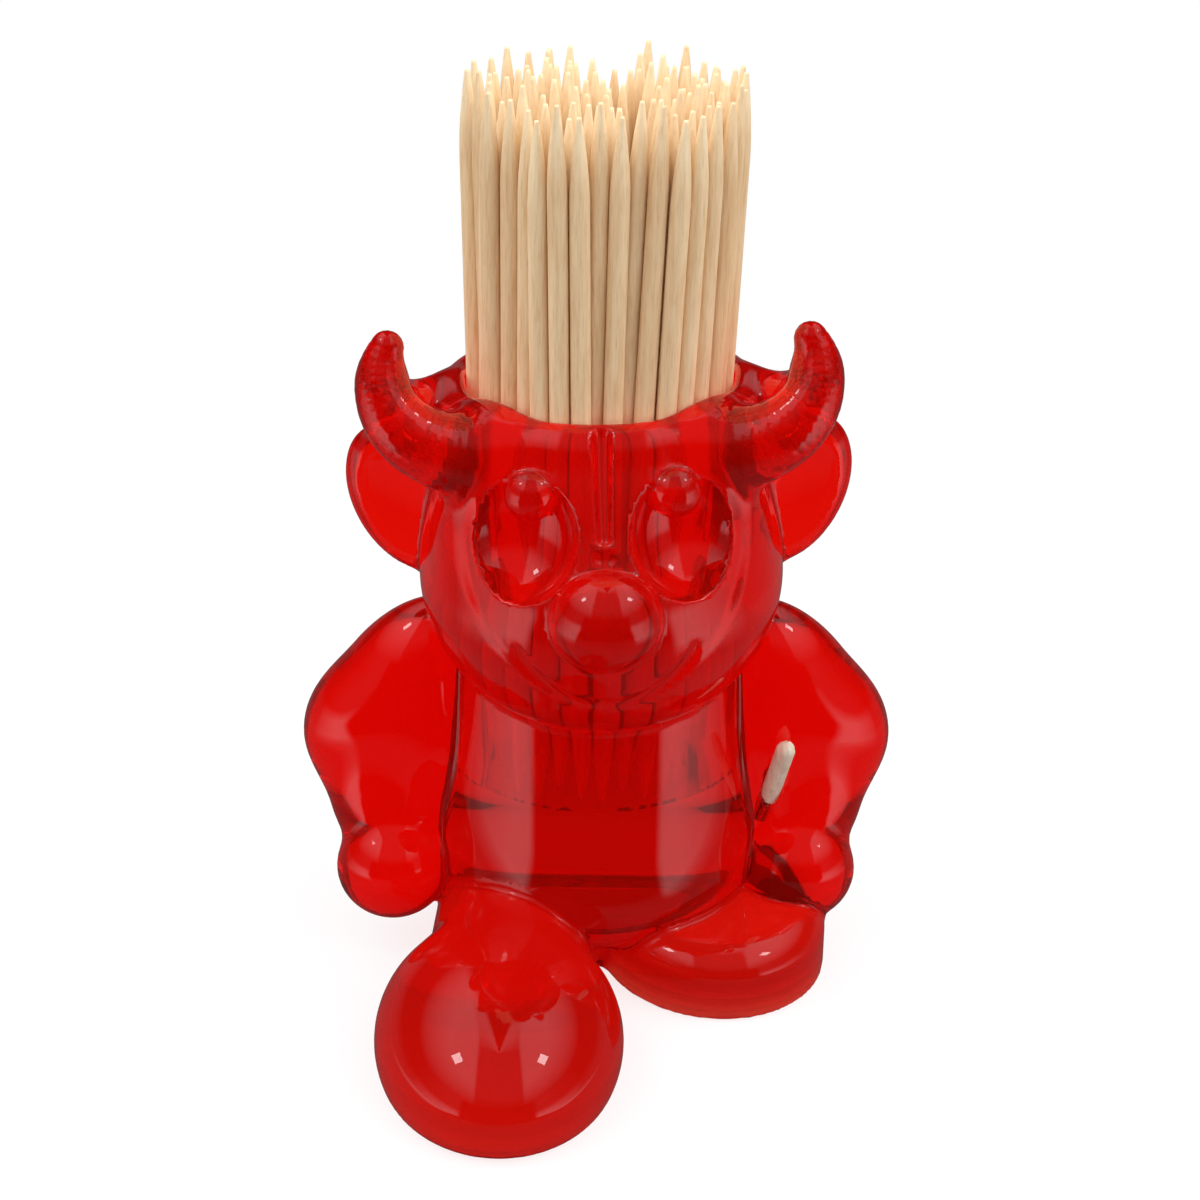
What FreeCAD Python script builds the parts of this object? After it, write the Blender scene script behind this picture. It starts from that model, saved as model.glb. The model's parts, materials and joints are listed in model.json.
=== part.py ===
import FreeCAD, Part
import Sketcher
import math
import os
import random
from FreeCAD import Placement, Rotation, Vector

# Toothpick dispenser: a clear red moulded imp whose hollow head is a cup full of round
# wooden toothpicks, with one broken pick left in the small hole beside its arm.
# Millimetres, +Z up, the face looks along -Y. The origin is on the table, under the cup.

os.makedirs("parts", exist_ok=True)
doc = FreeCAD.newDocument("toothpick_imp")
dims = doc.addObject("Spreadsheet::Sheet", "dims")

# ---------------------------------------------------------------- driving dimensions
SIZES = {
    # the cup in the head
    "rim_height": 60.6,
    "cup_floor_height": 18.0,
    "mouth_radius": 13.4,
    "cup_floor_radius": 11.9,
    "mouth_flare": 0.7,
    "cup_shift": 0.5,
    "cup_back": 0.7,
    "cup_wall": 2.8,
    "rim_round": 2.0,
    "nape_round": 7.0,
    "head_block_height": 22.4,
    "head_lean": 2.0,
    "neck_height": 40.0,
    # toothpicks
    "pick_diameter": 2.0,
    "pick_length": 72.0,
    "pick_taper": 8.0,
    "pick_mid_height": 3.4,
    "pick_mid_diameter": 1.46,
    "pick_tip_diameter": 0.5,
    "pick_gap": 0.06,
    "pick_fill": 0.82,
    "pick_rise": 2.0,
    "pick_lean": 0.7,
    "pick_stray_lean": 2.2,
    "pick_fan": 6.5,
    "pick_fan_edge": 0.5,
    "pocket_side": 4.4,
    "pocket_back": 8.9,
    # broken pick in the hole beside the arm
    "stub_x": 18.15,
    "stub_y": 6.7,
    "stub_z": 19.4,
    "stub_length": 12.4,
    "stub_depth": 6.0,
    "stub_gap": 0.08,
    "stub_out_lean": 9.0,
    "stub_front_lean": 24.0,
    # face lines
    "smile_radius": 10.4,
    "smile_groove": 0.8,
}

# Rounded masses of the figure: centre across, forward, up, and the three half sizes.
# Those of the head and the torso give their height as a drop below the rim, so they follow it.
MASSES = {
    "jaw": (0.0, 3.2, 19.2, 18.2, 20.6, 15.6),
    "face": (0.0, 8.2, 12.0, 16.0, 11.4, 12.2),
    "nose": (0.0, 22.0, 15.9, 5.5, 5.0, 4.9),
    "eye": (8.2, 19.7, 9.6, 5.4, 4.8, 6.6),
    "pupil": (7.6, 15.3, 6.2, 2.8, 2.4, 2.3),
    "ear": (19.6, -0.5, 12.6, 5.2, 2.9, 8.4),
    "ear_dish": (20.6, 3.0, 12.0, 3.3, 2.6, 5.9),
    "torso": (0.0, -0.5, 38.6, 17.2, 16.8, 22.0),
    "belly": (0.0, 4.5, 16.5, 17.4, 17.2, 12.5),
    "hips": (0.0, -0.5, 6.0, 17.0, 14.8, 9.5),
    "shoulder": (20.6, -0.8, 26.4, 6.2, 6.0, 11.0),
    "elbow": (24.0, -0.8, 21.0, 6.2, 5.9, 6.8),
    "forearm": (22.5, 1.8, 15.6, 5.3, 5.2, 9.2),
    "fist": (21.0, 6.0, 8.8, 5.8, 5.6, 5.5),
    "arm_web": (18.3, 0.6, 19.0, 7.2, 6.2, 12.0),
    "front_leg": (-9.0, 15.0, 5.4, 8.8, 18.0, 8.6),
    "front_shoe": (-10.0, 31.6, 3.6, 12.0, 17.4, 9.4),
    "rear_shoe": (11.6, 9.2, 4.4, 12.2, 16.8, 8.0),
}
TURNS = {
    "ear": 24.0,
    "ear_dish": 24.0,
    "eye": 20.0,
    "pupil": 90.0,
    "shoulder": 36.0,
    "forearm": 34.0,
    "rear_shoe": 8.0,
}

# Each horn: across, forward, drop below the rim and radius, from its root to its tip.
HORN = (
    ("root", 9.8, 6.8, 4.6, 3.7),
    ("base", 15.2, 10.9, 3.1, 3.9),
    ("bend", 19.0, 11.0, 0.7, 3.3),
    ("rise", 21.0, 9.9, -2.7, 2.7),
    ("tip", 20.5, 8.8, -6.9, 1.65),
)

FIELDS = ("across", "forward", "up", "half_x", "half_y", "half_z")
for mass, numbers in MASSES.items():
    for field, number in zip(FIELDS, numbers):
        SIZES[mass + "_" + field] = number
for mass, turn in TURNS.items():
    SIZES[mass + "_turn"] = turn
for place, across, forward, drop, radius in HORN:
    SIZES["horn_" + place + "_across"] = across
    SIZES["horn_" + place + "_forward"] = forward
    SIZES["horn_" + place + "_drop"] = drop
    SIZES["horn_" + place + "_radius"] = radius

for row, (alias, number) in enumerate(SIZES.items(), start=1):
    dims.set("A%d" % row, alias)
    dims.set("B%d" % row, str(number))
    dims.setAlias("B%d" % row, alias)
doc.recompute()


def size(alias):
    """The number in the sheet's cell of that name."""
    return float(dims.get(alias))


# ---------------------------------------------------------------- helpers
def bind(obj, **links):
    """Bind properties to sheet cells; a double underscore stands for a dot."""
    for prop, expression in links.items():
        obj.setExpression(prop.replace("__", "."), expression)


def mass(name, side=0, head=False, axis=None):
    """One ellipsoid of the figure; side -1 or 1 puts it on the left or the right."""
    obj = doc.addObject("Part::Ellipsoid", name + {-1: "_left", 0: "", 1: "_right"}[side])
    if axis is not None:
        turn = axis if side == 0 else Vector(axis.x, axis.y * side, axis.z * side)
        obj.Placement = Placement(Vector(), Rotation(turn, size(name + "_turn")))
        bind(obj, Placement__Rotation__Angle="dims.%s_turn * 1deg" % name)
    bind(obj, Radius2="dims.%s_half_x" % name, Radius3="dims.%s_half_y" % name)
    bind(obj, Radius1="dims.%s_half_z" % name)
    sign = "-" if side < 0 else ""
    height = "dims.rim_height - dims.%s_up" if head else "dims.%s_up"
    bind(obj, Placement__Base__x="%sdims.%s_across" % (sign, name))
    bind(obj, Placement__Base__y="-dims.%s_forward" % name)
    bind(obj, Placement__Base__z=height % name)
    return obj


def boolean(kind, name, **parts):
    """A Part boolean of the given kind with its operands set."""
    obj = doc.addObject("Part::" + kind, name)
    for prop, value in parts.items():
        setattr(obj, prop, value)
    return obj


def joined(name, pieces):
    """The pieces fused one after another, which keeps each step simple."""
    whole = pieces[0]
    for i, piece in enumerate(pieces[1:], start=1):
        whole = boolean("Fuse", "%s_%02d" % (name, i), Base=whole, Tool=piece)
    return whole


def plane_of(body, role):
    """The body's own origin plane with that role."""
    return [o for o in body.Origin.OriginFeatures if o.Role == role][0]


def sketch_on(body, name, role):
    """A sketch lying on one of the body's own origin planes."""
    sketch = body.newObject("Sketcher::SketchObject", name)
    sketch.AttachmentSupport = [(plane_of(body, role), "")]
    sketch.MapMode = "FlatFace"
    return sketch


def cell(*terms):
    """A sum of factor times cell, as the text of an expression and as a number."""
    text = " + ".join("%s * dims.%s" % (factor, alias) for factor, alias in terms)
    return text, sum(factor * size(alias) for factor, alias in terms)


AXIS = ("0", 0.0)


def turned(body, corners):
    """A solid of revolution about the body's Z axis from a closed (radius, height) profile."""
    sketch = sketch_on(body, body.Name + "_profile", "XZ_Plane")
    count = len(corners)
    for i in range(count):
        a = corners[i]
        b = corners[(i + 1) % count]
        start = Vector(a[0][1], a[1][1], 0)
        end = Vector(b[0][1], b[1][1], 0)
        sketch.addGeometry(Part.LineSegment(start, end), False)
    for i in range(count):
        sketch.addConstraint(Sketcher.Constraint("Coincident", i, 2, (i + 1) % count, 1))
    for i, corner in enumerate(corners):
        for kind, (text, value) in zip(("DistanceX", "DistanceY"), corner):
            if text == "0":
                line = -2 if kind == "DistanceX" else -1
                sketch.addConstraint(Sketcher.Constraint("PointOnObject", i, 1, line))
                continue
            at = sketch.addConstraint(Sketcher.Constraint(kind, -1, 1, i, 1, value))
            sketch.setExpression("Constraints[%d]" % at, text)
    turn = body.newObject("PartDesign::Revolution", body.Name + "_turned")
    turn.Profile = sketch
    turn.ReferenceAxis = (sketch, ["V_Axis"])
    turn.Angle = 360.0
    body.Tip = turn
    return turn


# ---------------------------------------------------------------- the head
AXIS_Y = Vector(0, 1, 0)
AXIS_Z = Vector(0, 0, 1)
AXIS_X = Vector(1, 0, 0)

head_block = doc.addObject("Part::Cylinder", "head_block")
bind(head_block, Radius="dims.mouth_radius + dims.cup_wall", Height="dims.head_block_height")
bind(head_block, Placement__Base__y="dims.cup_back")
bind(head_block, Placement__Base__z="dims.rim_height - dims.head_block_height")
doc.recompute()
top_edge = [i for i, e in enumerate(head_block.Shape.Edges, start=1)
            if e.Closed and abs(e.CenterOfMass.z - size("rim_height")) < 0.01][0]
low_edge = [i for i, e in enumerate(head_block.Shape.Edges, start=1)
            if e.Closed and i != top_edge][0]
head_top = doc.addObject("Part::Fillet", "head_block_rounded")
head_top.Base = head_block
lip = min(size("rim_round"), size("cup_wall") * 0.8)
nape = min(size("nape_round"), size("head_block_height") / 2)
head_top.Edges = [(top_edge, lip, lip), (low_edge, nape, nape)]

head_parts = [head_top, mass("jaw", head=True), mass("face", head=True),
              mass("nose", head=True)]
for side in (-1, 1):
    tag = "_left" if side < 0 else "_right"
    sign = "-" if side < 0 else ""
    ear = mass("ear", side, head=True, axis=Vector(0, 1, 0))
    dish = mass("ear_dish", side, head=True, axis=Vector(0, 1, 0))
    head_parts.append(boolean("Cut", "ear_hollowed" + tag, Base=ear, Tool=dish))

    # the horn: round sections along its curve, skinned, with a round tip
    spots = [Vector(side * size("horn_%s_across" % place), -size("horn_%s_forward" % place),
                    size("rim_height") - size("horn_%s_drop" % place)) for place, *_ in HORN]
    rings = []
    for i, (place, *_) in enumerate(HORN):
        before = spots[max(i - 1, 0)]
        after = spots[min(i + 1, len(spots) - 1)]
        ring = doc.addObject("Part::Circle", "horn_ring_" + place + tag)
        ring.Placement = Placement(spots[i], Rotation(AXIS_Z, after - before))
        bind(ring, Radius="dims.horn_%s_radius" % place)
        bind(ring, Placement__Base__x="%sdims.horn_%s_across" % (sign, place))
        bind(ring, Placement__Base__y="-dims.horn_%s_forward" % place)
        bind(ring, Placement__Base__z="dims.rim_height - dims.horn_%s_drop" % place)
        rings.append(ring)
    horn = doc.addObject("Part::Loft", "horn" + tag)
    horn.Sections = rings
    horn.Solid = True
    horn.Ruled = False
    tip = doc.addObject("Part::Sphere", "horn_tip" + tag)
    bind(tip, Radius="dims.horn_tip_radius * 1.05")
    bind(tip, Placement__Base__x="%sdims.horn_tip_across" % sign)
    bind(tip, Placement__Base__y="-dims.horn_tip_forward")
    bind(tip, Placement__Base__z="dims.rim_height - dims.horn_tip_drop - 0.25")
    head_parts += [horn, tip]

# each eye is an oval hollow in the face, with a small round pupil standing in its top
head = joined("head_mass", head_parts)
for side, tag in ((-1, "_left"), (1, "_right")):
    head = boolean("Cut", "head_eye" + tag, Base=head,
                   Tool=mass("eye", side, head=True, axis=Vector(-0.68, 0, 0.73)))
    head = boolean("Fuse", "head_pupil" + tag, Base=head, Tool=mass("pupil", side, head=True, axis=AXIS_X))
head.Placement = Placement(Vector(), Rotation(Vector(0, -1, 0), size("head_lean")))
bind(head, Placement__Rotation__Angle="dims.head_lean * 1deg")
bind(head, Placement__Base__x="dims.neck_height * sin(dims.head_lean * 1deg)")
bind(head, Placement__Base__z="dims.neck_height * (1 - cos(dims.head_lean * 1deg))")

# ---------------------------------------------------------------- the body
body_parts = [mass("torso", head=True), mass("belly"), mass("hips"), mass("front_leg")]
body_parts += [mass("front_shoe"), mass("rear_shoe", axis=AXIS_Z)]
for side in (-1, 1):
    body_parts.append(mass("shoulder", side, axis=Vector(0, -1, 0)))
    body_parts.append(mass("elbow", side))
    body_parts.append(mass("forearm", side, axis=Vector(-0.87, 0.49, 0)))
    body_parts.append(mass("fist", side))
    body_parts.append(mass("arm_web", side))
trunk = joined("body_mass", body_parts)
whole = boolean("Fuse", "whole_mass", Base=head, Tool=trunk)

# ---------------------------------------------------------------- what is cut away
# the cup: a slightly tapered bore with a flared mouth, open at the top of the head
cup = doc.addObject("PartDesign::Body", "cup_tool")
wall_top = cell((1, "mouth_radius"))
lip_bottom = cell((1, "rim_height"), (-1, "mouth_flare"))
lip_out = cell((1, "mouth_radius"), (2, "mouth_flare"))
lip_top = cell((1, "rim_height"), (1, "mouth_flare"))
above = cell((1, "rim_height"), (1, "pick_taper"))
floor_radius = cell((1, "cup_floor_radius"))
floor_height = cell((1, "cup_floor_height"))
turned(cup, [(AXIS, floor_height), (floor_radius, floor_height), (wall_top, lip_bottom),
             (lip_out, lip_top), (lip_out, above), (AXIS, above)])
bind(cup, Placement__Base__x="-dims.cup_shift", Placement__Base__y="dims.cup_back")

# the hole beside the right arm, its axis leaning outwards and to the front
stub_axis = Vector(math.sin(math.radians(size("stub_out_lean"))),
                   -math.sin(math.radians(size("stub_front_lean"))), 0)
stub_axis.z = math.sqrt(1 - stub_axis.x ** 2 - stub_axis.y ** 2)
stub_turn = Rotation(AXIS_Z, stub_axis)
stub_mouth = Vector(size("stub_x"), -size("stub_y"), size("stub_z"))
stub_foot = stub_mouth - stub_axis * size("stub_depth")
bore = doc.addObject("Part::Cylinder", "stub_bore")
bore.Placement = Placement(stub_foot, stub_turn)
bind(bore, Radius="dims.pick_diameter / 2 + dims.stub_gap", Height="dims.stub_depth * 3")

# the smile: a shallow groove round the lower face
smile = doc.addObject("Part::Torus", "smile_tool")
smile.Placement = Placement(Vector(), Rotation(AXIS_X, 68))
bind(smile, Radius1="dims.smile_radius", Radius2="dims.smile_groove")
smile.Angle3 = 110
bind(smile, Placement__Base__y="-dims.nose_forward + 1.9")
bind(smile, Placement__Base__z="dims.rim_height - dims.nose_up + 1.6")

ground = doc.addObject("Part::Box", "below_ground")
bind(ground, Length="200", Width="200", Height="40")
bind(ground, Placement__Base__x="-100", Placement__Base__y="-100", Placement__Base__z="-40")

figure = whole
for i, cutter in enumerate((cup, bore, smile, ground), start=1):
    figure = boolean("Cut", "figure_%d" % i, Base=figure, Tool=cutter)
figure.Label = "figure_body"

# ---------------------------------------------------------------- the broken pick
radius = cell((0.5, "pick_diameter"))
point = cell((0.5, "pick_tip_diameter"))
waist = cell((0.5, "pick_mid_diameter"))
mid = cell((1, "pick_mid_height"))
shoulder = cell((1, "pick_taper"))

stub_stick = doc.addObject("PartDesign::Body", "stub_stick")
stub_end = cell((1, "stub_length"))
turned(stub_stick, [(AXIS, AXIS), (point, AXIS), (waist, mid), (radius, shoulder),
                    (radius, stub_end), (AXIS, stub_end)])
lift = 0.05
stub_stick.Placement = Placement(stub_foot + stub_axis * lift, stub_turn)
# its broken end is a slanting face
snap = doc.addObject("Part::Box", "stub_break")
bind(snap, Length="dims.pick_diameter * 3", Width="dims.pick_diameter * 3", Height="dims.stub_length")
reach = size("pick_diameter") * 1.5
tilt = Rotation(AXIS_X, 28)
corner = Vector(0, 0, size("stub_length") - 0.7) + tilt.multVec(Vector(-reach, -reach, 0))
snap.Placement = stub_stick.Placement.multiply(Placement(corner, tilt))
stub = boolean("Cut", "hand_stub", Base=stub_stick, Tool=snap)
stub.Label = "hand_stub"

# ---------------------------------------------------------------- how the picks stand
# Every pick is a straight stick from the cup's floor up past the mouth. The sticks start as
# an even spread and are pushed apart, level by level, until none overlaps another, the wall
# or the free pocket at the back, as sticks do when a bunch is dropped into a cup.
random.seed(7)
thick = size("pick_diameter")
gap = size("pick_gap")
depth = size("rim_height") - size("cup_floor_height")
reach = size("pick_length") + size("pick_rise")
bottom_radius = size("cup_floor_radius") - size("pick_diameter") / 2 - gap
slope = (size("mouth_radius") - size("cup_floor_radius")) / depth
levels = [size("pick_taper") + (reach - size("pick_taper")) * i / 6 for i in range(7)]
pocket_half = size("pocket_side") / 2
pocket_y = size("pocket_back")
count = int(size("pick_fill") * (size("cup_floor_radius") / (thick / 2 + gap / 2)) ** 2)
golden = math.pi * (3 - math.sqrt(5))


class Stick:
    """One pick's axis: its place at the cup's floor and at its top level."""

    def __init__(self, angle, share, stray):
        spread = bottom_radius * share
        lean = size("pick_stray_lean" if stray else "pick_lean")
        self.low = [spread * math.cos(angle), spread * math.sin(angle)]
        grown = 1 + slope * reach / bottom_radius
        # the picks right of the middle fan out together, the inner ones the most
        past = (self.low[0] - size("pick_fan_edge")) / thick
        fan = max(0.0, min(1.0, past, (bottom_radius - self.low[0]) / bottom_radius * 1.3))
        if self.low[1] > bottom_radius / 3:
            fan = 0.0
        self.top = [self.low[0] * grown + fan * size("pick_fan") + random.gauss(0, lean),
                    self.low[1] * grown + random.gauss(0, lean)]

    def at(self, height):
        part = height / reach
        return (self.low[0] + (self.top[0] - self.low[0]) * part,
                self.low[1] + (self.top[1] - self.low[1]) * part)

    def push(self, height, dx, dy):
        part = height / reach
        whole = (1 - part) ** 2 + part ** 2
        self.low[0] += dx * (1 - part) / whole
        self.low[1] += dy * (1 - part) / whole
        self.top[0] += dx * part / whole
        self.top[1] += dy * part / whole


def keep_inside(stick, height, margin):
    """Push a stick back inside the cup's wall, or its line carried on upwards."""
    x, y = stick.at(height)
    allowed = bottom_radius + slope * height + margin
    away = math.hypot(x, y)
    if away > allowed:
        stick.push(height, x * (allowed / away - 1), y * (allowed / away - 1))
        return away - allowed
    return 0.0


def keep_off_pocket(stick, height):
    """Push a stick out of the square pocket left free at the back of the cup."""
    x, y = stick.at(height)
    side = pocket_half + thick / 2 + gap
    dx = x
    dy = y - pocket_y
    if abs(dx) >= side or abs(dy) >= side:
        return 0.0
    near_x = max(-pocket_half, min(pocket_half, dx))
    near_y = max(-pocket_half, min(pocket_half, dy))
    away = math.hypot(dx - near_x, dy - near_y)
    if away >= thick / 2 + gap:
        return 0.0
    if away > 1e-6:
        need = thick / 2 + gap - away
        stick.push(height, (dx - near_x) / away * need, (dy - near_y) / away * need)
        return need
    need = side - abs(dx)
    stick.push(height, math.copysign(need, dx), 0)
    return need


def part_sticks(sticks, height, least):
    """Push apart every two sticks nearer than the least distance at this height."""
    worst = 0.0
    spots = [stick.at(height) for stick in sticks]
    grid = {}
    for i, (x, y) in enumerate(spots):
        grid.setdefault((int(x // least), int(y // least)), []).append(i)
    for (gx, gy), members in grid.items():
        for i in members:
            for nx in (gx - 1, gx, gx + 1):
                for ny in (gy - 1, gy, gy + 1):
                    for j in grid.get((nx, ny), ()):
                        if j <= i:
                            continue
                        dx = spots[j][0] - spots[i][0]
                        dy = spots[j][1] - spots[i][1]
                        away = math.hypot(dx, dy) or 1e-6
                        if away < least:
                            half = (least - away) / away / 2
                            sticks[i].push(height, -dx * half, -dy * half)
                            sticks[j].push(height, dx * half, dy * half)
                            worst = max(worst, least - away)
    return worst


sticks = []
for i in range(count):
    stick = Stick(i * golden, math.sqrt((i + 0.5) / count), i % 5 == 3)
    if max(abs(stick.low[0]), abs(stick.low[1] - pocket_y)) > pocket_half + thick / 4:
        sticks.append(stick)
sweeps = 0
worst = 1.0
while worst > gap * 0.4 and sweeps < 2500:
    worst = 0.0
    for height in levels:
        worst = max(worst, part_sticks(sticks, height, thick + gap))
    for stick in sticks:
        worst = max(worst, keep_inside(stick, 0, (thick - size("pick_tip_diameter")) / 2))
        for height in levels:
            worst = max(worst, keep_off_pocket(stick, height))
        for height in (levels[0], reach):
            worst = max(worst, keep_inside(stick, height, 0.0))
    sweeps += 1
print("picks", len(sticks), "sweeps", sweeps, "largest overlap left", round(worst, 4))

# ---------------------------------------------------------------- the picks
NAMED = 56
floor_z = size("cup_floor_height")
sticks.sort(key=lambda stick: -math.hypot(*stick.at(depth)))
named = sticks[:NAMED]
named.sort(key=lambda stick: math.atan2(stick.at(depth)[1], stick.at(depth)[0]))
inner = sticks[NAMED:]


def pick(name, stick):
    """One toothpick: round, pointed at both ends, standing on the cup's floor."""
    body = doc.addObject("PartDesign::Body", name)
    length = cell((1, "pick_length"))
    upper = cell((1, "pick_length"), (-1, "pick_taper"))
    upper_mid = cell((1, "pick_length"), (-1, "pick_mid_height"))
    turned(body, [(AXIS, AXIS), (point, AXIS), (waist, mid), (radius, shoulder),
                  (radius, upper), (waist, upper_mid), (point, length), (AXIS, length)])
    low = Vector(stick.low[0], stick.low[1], 0)
    top = Vector(stick.top[0], stick.top[1], reach)
    axis = (top - low).normalize()
    # the point's rim stays just above the floor, and each pick is held up a little
    rise = random.uniform(0, 1) ** 1.5 * size("pick_rise")
    foot = low + axis * (rise + 0.03 + point[1] * math.hypot(axis.x, axis.y))
    foot += Vector(-size("cup_shift"), size("cup_back"), floor_z)
    body.Placement = Placement(foot, Rotation(AXIS_Z, axis))
    body.Label = name
    return body


nodes = [figure, stub]
for i, stick in enumerate(named, start=1):
    nodes.append(pick("toothpick_%02d" % i, stick))
middle = doc.addObject("Part::Compound", "toothpicks_inner")
middle.Links = [pick("inner_pick_%02d" % i, stick) for i, stick in enumerate(inner, start=1)]
middle.Label = "toothpicks_inner"
nodes.append(middle)
doc.recompute()

# ---------------------------------------------------------------- checks and files
for obj in doc.Objects:
    if "Invalid" in obj.State or "Error" in obj.State:
        raise RuntimeError("failed object: " + obj.Name + " " + str(obj.State))
for node in nodes:
    if node.Shape.isNull() or not node.Shape.isValid() or not node.Shape.Solids:
        raise RuntimeError("bad shape: " + node.Label)
if len(figure.Shape.Solids) != 1:
    raise RuntimeError("the figure is in pieces")
for node in nodes:
    node.Shape.exportStep("parts/%s.step" % node.Label)
print("hole volume", round(figure.Base.Base.Base.Shape.Volume - figure.Base.Base.Shape.Volume, 2))
print("nodes", len(nodes), "figure volume", round(figure.Shape.Volume, 1))
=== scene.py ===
# %% [markdown]
# A toothpick dispenser: a clear red imp, moulded in one piece, whose open head is a cup full of
# wooden toothpicks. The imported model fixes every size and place, so it is loaded first, and each
# new surface is worked out around it. Lengths are in metres in Blender; the shapes below are
# worked out in millimetres, because that is how such a small object is measured.

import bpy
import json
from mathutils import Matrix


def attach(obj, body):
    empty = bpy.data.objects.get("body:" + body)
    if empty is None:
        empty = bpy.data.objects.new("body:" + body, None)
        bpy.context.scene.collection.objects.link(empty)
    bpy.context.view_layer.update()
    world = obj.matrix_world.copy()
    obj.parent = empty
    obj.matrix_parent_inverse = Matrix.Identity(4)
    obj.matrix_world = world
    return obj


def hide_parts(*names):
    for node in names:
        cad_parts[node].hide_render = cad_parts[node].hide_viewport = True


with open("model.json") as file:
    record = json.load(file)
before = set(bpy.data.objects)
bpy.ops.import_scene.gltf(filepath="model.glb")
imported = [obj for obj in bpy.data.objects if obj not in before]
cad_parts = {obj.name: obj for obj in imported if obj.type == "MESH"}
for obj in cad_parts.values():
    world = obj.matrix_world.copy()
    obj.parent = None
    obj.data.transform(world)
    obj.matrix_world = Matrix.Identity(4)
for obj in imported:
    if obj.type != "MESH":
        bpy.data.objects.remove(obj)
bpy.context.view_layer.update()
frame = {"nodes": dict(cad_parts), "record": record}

import json
import math

import bpy
import numpy as np
from mathutils import Matrix

MM = 0.001

# %% [markdown]
# The camera stands a third of a metre in front, twice as high as the object, and looks down on the
# face. It comes first, so that every later step can be judged in the same view. Its turn is
# written as three directions, right, up and back, which is the plainest way to add a slight roll.

# %% Camera
CAMERA_BACK = 330 * MM
CAMERA_UP = 186 * MM
CAMERA_SIDE = math.radians(-2.0)
CAMERA_PITCH = math.radians(24.4)
CAMERA_ROLL = math.radians(1.3)
LENS_MM = 106.5
SENSOR_MM = 36


def place_camera():
    """A camera whose own axes are: right, level and square to its line of sight; up, square to
    both; back, from what it looks at towards itself; all turned by the roll about the last."""
    level = np.array([math.sin(CAMERA_SIDE), -math.cos(CAMERA_SIDE), 0.0])
    back = level * math.cos(CAMERA_PITCH) + np.array([0, 0, math.sin(CAMERA_PITCH)])
    right = np.cross([0, 0, 1], back)
    right /= np.linalg.norm(right)
    up = np.cross(back, right)
    c, s = math.cos(CAMERA_ROLL), math.sin(CAMERA_ROLL)
    right, up = right * c + up * s, up * c - right * s
    data = bpy.data.cameras.new("camera")
    data.lens = LENS_MM
    data.sensor_width = SENSOR_MM
    data.clip_start = 0.02
    data.clip_end = 50
    camera = bpy.data.objects.new("camera", data)
    bpy.context.scene.collection.objects.link(camera)
    place = np.eye(4)
    place[:3, 0], place[:3, 1], place[:3, 2] = right, up, back
    place[:3, 3] = level * CAMERA_BACK + np.array([0, 0, CAMERA_UP])
    camera.matrix_world = Matrix(place.tolist())
    return camera


bpy.context.scene.camera = place_camera()
print("camera", [round(x, 3) for x in bpy.context.scene.camera.matrix_world.translation])

# %% [markdown]
# The figure is one moulding whose head, horns, arms and shoes flow into each other. Separate
# surfaces would meet in hard seams, so the form is worked out as a field instead: every point of
# space gets its distance to the skin, negative inside. Each mass is a simple field, and two are
# joined by a soft minimum, which fills the corner between them as a mould maker's fillet does.

# %% Fields for single masses
def ellipsoid(p, centre, half, turn=None):
    """Length of the point scaled by the half sizes, times that length less one, over the length
    of the point scaled by their squares: a good distance near the skin."""
    q = p - np.float32(centre)
    if turn is not None:
        q = q @ turned(*turn).T.astype(np.float32)
    half = np.float32(half)
    near = np.linalg.norm(q / half, axis=-1)
    far = np.linalg.norm(q / (half * half), axis=-1)
    return near * (near - 1) / np.maximum(far, 1e-6)


def turned(axis, degrees):
    """The matrix that takes a point of the scene into the frame of a mass turned about an axis."""
    x, y, z = np.array(axis, float) / np.linalg.norm(axis)
    c, s = math.cos(math.radians(-degrees)), math.sin(math.radians(-degrees))
    cross = np.array([[0, -z, y], [z, 0, -x], [-y, x, 0]])
    return np.eye(3) * c + cross * s + np.outer([x, y, z], [x, y, z]) * (1 - c)


def limb(p, a, b, ra, rb):
    """Distance to the nearest ball of a row of balls whose radius runs evenly from ra to rb
    between the two ends."""
    a, b = np.float32(a), np.float32(b)
    along = b - a
    length = float(np.linalg.norm(along))
    along = along / length
    q = p - a
    t = q @ along
    off = np.linalg.norm(q - t[..., None] * along, axis=-1)
    slope = (ra - rb) / length
    rise = math.sqrt(1 - slope * slope)
    t = np.clip(t + off * slope / rise, 0, length)
    return np.linalg.norm(q - t[..., None] * along, axis=-1) - (ra + (rb - ra) * t / length)


def chain(p, stations):
    """The nearest of the limbs that run from each station, (place, radius), to the next."""
    whole = None
    for (a, ra), (b, rb) in zip(stations[:-1], stations[1:]):
        piece = limb(p, a, b, ra, rb)
        whole = piece if whole is None else np.minimum(whole, piece)
    return whole


def smooth_path(stations, count):
    """Stations read at even shares of the one polynomial that passes through all those given."""
    numbers = np.array([[*place, radius] for place, radius in stations])
    share = np.linspace(0, 1, len(numbers))
    curves = [np.polyfit(share, column, len(numbers) - 1) for column in numbers.T]
    found = np.stack([np.polyval(c, np.linspace(0, 1, count)) for c in curves], axis=1)
    return [(tuple(row[:3]), float(row[3])) for row in found]


def drum(p, centre, radius, half_height, edge):
    """Distance to an upright round block whose edges are rounded by the given radius."""
    q = p - np.float32(centre)
    across = np.hypot(q[..., 0], q[..., 1]) - radius + edge
    up = np.abs(q[..., 2]) - half_height + edge
    outside = np.hypot(np.maximum(across, 0), np.maximum(up, 0))
    return outside + np.minimum(np.maximum(across, up), 0) - edge


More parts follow.
